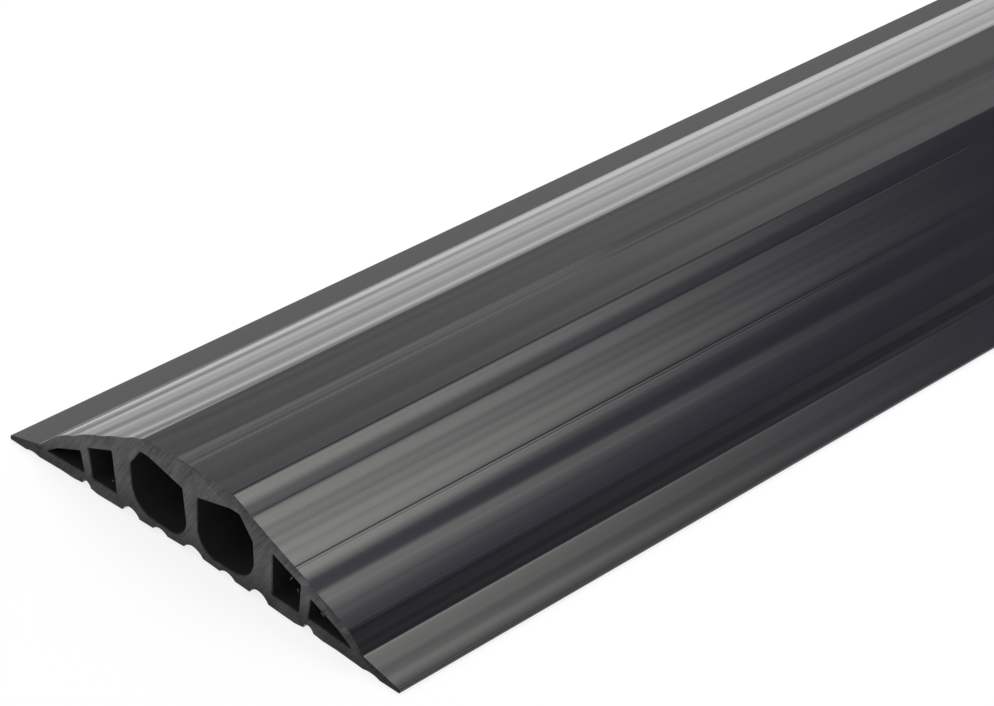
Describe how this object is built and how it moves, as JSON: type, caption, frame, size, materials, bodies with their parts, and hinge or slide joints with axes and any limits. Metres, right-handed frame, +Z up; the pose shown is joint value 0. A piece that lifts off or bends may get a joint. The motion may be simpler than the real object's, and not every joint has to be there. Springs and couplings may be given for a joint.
{
  "type": "cable protector ramp",
  "caption": "Low, wide soft-PVC floor strip with enclosed lengthwise cable cells, sloped sides running out to feather edges and a grooved underside.",
  "frame": {"origin": "on the ground under the middle of the strip", "axes": "+X along the strip, +Y across it, +Z up from the ground"},
  "size_m": [1, 0.15, 0.028],
  "materials": {
    "soft_pvc": "satin black, streaked lengthwise by the extrusion die"
  },
  "bodies": {
    "root": {"protector_profile": "soft_pvc"}
  },
  "joints": []
}
